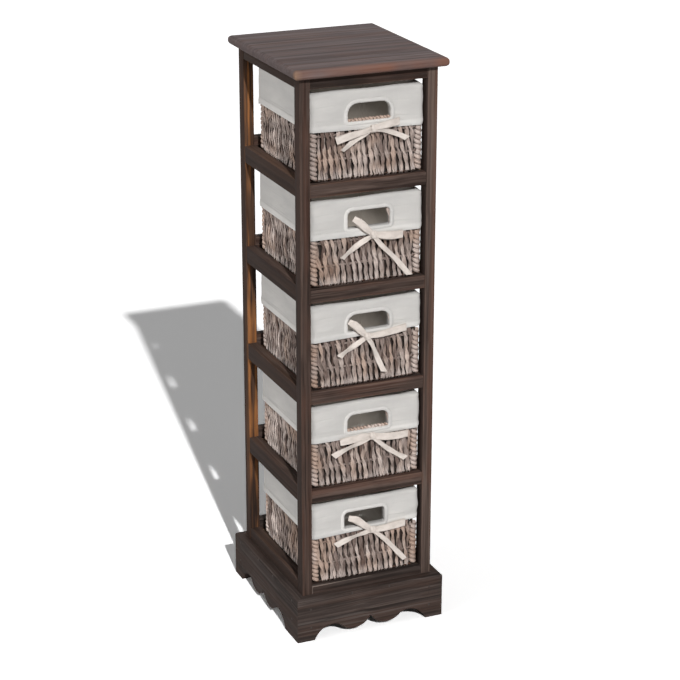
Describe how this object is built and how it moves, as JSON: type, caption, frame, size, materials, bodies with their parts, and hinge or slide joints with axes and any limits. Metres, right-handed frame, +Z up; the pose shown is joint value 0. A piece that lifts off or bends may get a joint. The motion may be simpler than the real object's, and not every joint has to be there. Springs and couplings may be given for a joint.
{
  "type": "basket storage rack",
  "caption": "Tall narrow open wooden rack with scalloped base; lined woven baskets with handle holes and ribbon ties slide out of its bays.",
  "frame": {"origin": "on the floor under the middle of the rack's outline", "axes": "+Z up, -Y the front with the basket handles, +X to the right seen from the front"},
  "size_m": [0.274, 0.302, 1],
  "materials": {
    "weathered_wood": "dark brown weathered stain over open grain, matt",
    "plain_wood": "plain sawn wood, out of sight",
    "nail_steel": "plain steel nails, heads set below the face",
    "woven_leaf": "twisted dried leaf strands, grey brown, matt",
    "frame_wire": "bare drawn wire",
    "liner_cloth": "off-white plain woven cotton",
    "ribbon": "cream cotton ribbon"
  },
  "bodies": {
    "root": {"top_board": "weathered_wood", "post_front_left": "weathered_wood", "post_front_right": "weathered_wood", "post_rear_left": "weathered_wood", "post_rear_right": "weathered_wood", "front_rail_1": "weathered_wood", "rear_rail_1": "weathered_wood", "left_rail_1": "weathered_wood", "right_rail_1": "weathered_wood", "front_rail_2": "weathered_wood", "rear_rail_2": "weathered_wood", "left_rail_2": "weathered_wood", "right_rail_2": "weathered_wood", "front_rail_3": "weathered_wood", "rear_rail_3": "weathered_wood", "left_rail_3": "weathered_wood", "right_rail_3": "weathered_wood", "front_rail_4": "weathered_wood", "rear_rail_4": "weathered_wood", "left_rail_4": "weathered_wood", "right_rail_4": "weathered_wood", "front_rail_5": "weathered_wood", "rear_rail_5": "weathered_wood", "left_rail_5": "weathered_wood", "right_rail_5": "weathered_wood", "top_front_rail": "weathered_wood", "top_rear_rail": "weathered_wood", "top_left_rail": "weathered_wood", "top_right_rail": "weathered_wood", "runners_1": "plain_wood", "runners_2": "plain_wood", "runners_3": "plain_wood", "runners_4": "plain_wood", "runners_5": "plain_wood", "front_apron": "weathered_wood", "rear_apron": "weathered_wood", "left_apron": "weathered_wood", "right_apron": "weathered_wood", "dowels": "plain_wood", "apron_nails": "nail_steel"},
    "basket_1": {"basket_1_wicker": "woven_leaf", "basket_1_wire_frame": "frame_wire", "basket_1_liner": "liner_cloth", "basket_1_tie": "ribbon"},
    "basket_2": {"basket_2_wicker": "woven_leaf", "basket_2_wire_frame": "frame_wire", "basket_2_liner": "liner_cloth", "basket_2_tie": "ribbon"},
    "basket_3": {"basket_3_wicker": "woven_leaf", "basket_3_wire_frame": "frame_wire", "basket_3_liner": "liner_cloth", "basket_3_tie": "ribbon"},
    "basket_4": {"basket_4_wicker": "woven_leaf", "basket_4_wire_frame": "frame_wire", "basket_4_liner": "liner_cloth", "basket_4_tie": "ribbon"},
    "basket_5": {"basket_5_wicker": "woven_leaf", "basket_5_wire_frame": "frame_wire", "basket_5_liner": "liner_cloth", "basket_5_tie": "ribbon"}
  },
  "joints": [
    {"name": "basket_1_slide", "type": "slide", "parent": "root", "child": "basket_1", "axis": [0, -1, 0], "range_m": [0, 0.25]},
    {"name": "basket_2_slide", "type": "slide", "parent": "root", "child": "basket_2", "axis": [0, -1, 0], "range_m": [0, 0.25]},
    {"name": "basket_3_slide", "type": "slide", "parent": "root", "child": "basket_3", "axis": [0, -1, 0], "range_m": [0, 0.25]},
    {"name": "basket_4_slide", "type": "slide", "parent": "root", "child": "basket_4", "axis": [0, -1, 0], "range_m": [0, 0.25]},
    {"name": "basket_5_slide", "type": "slide", "parent": "root", "child": "basket_5", "axis": [0, -1, 0], "range_m": [0, 0.25]}
  ]
}
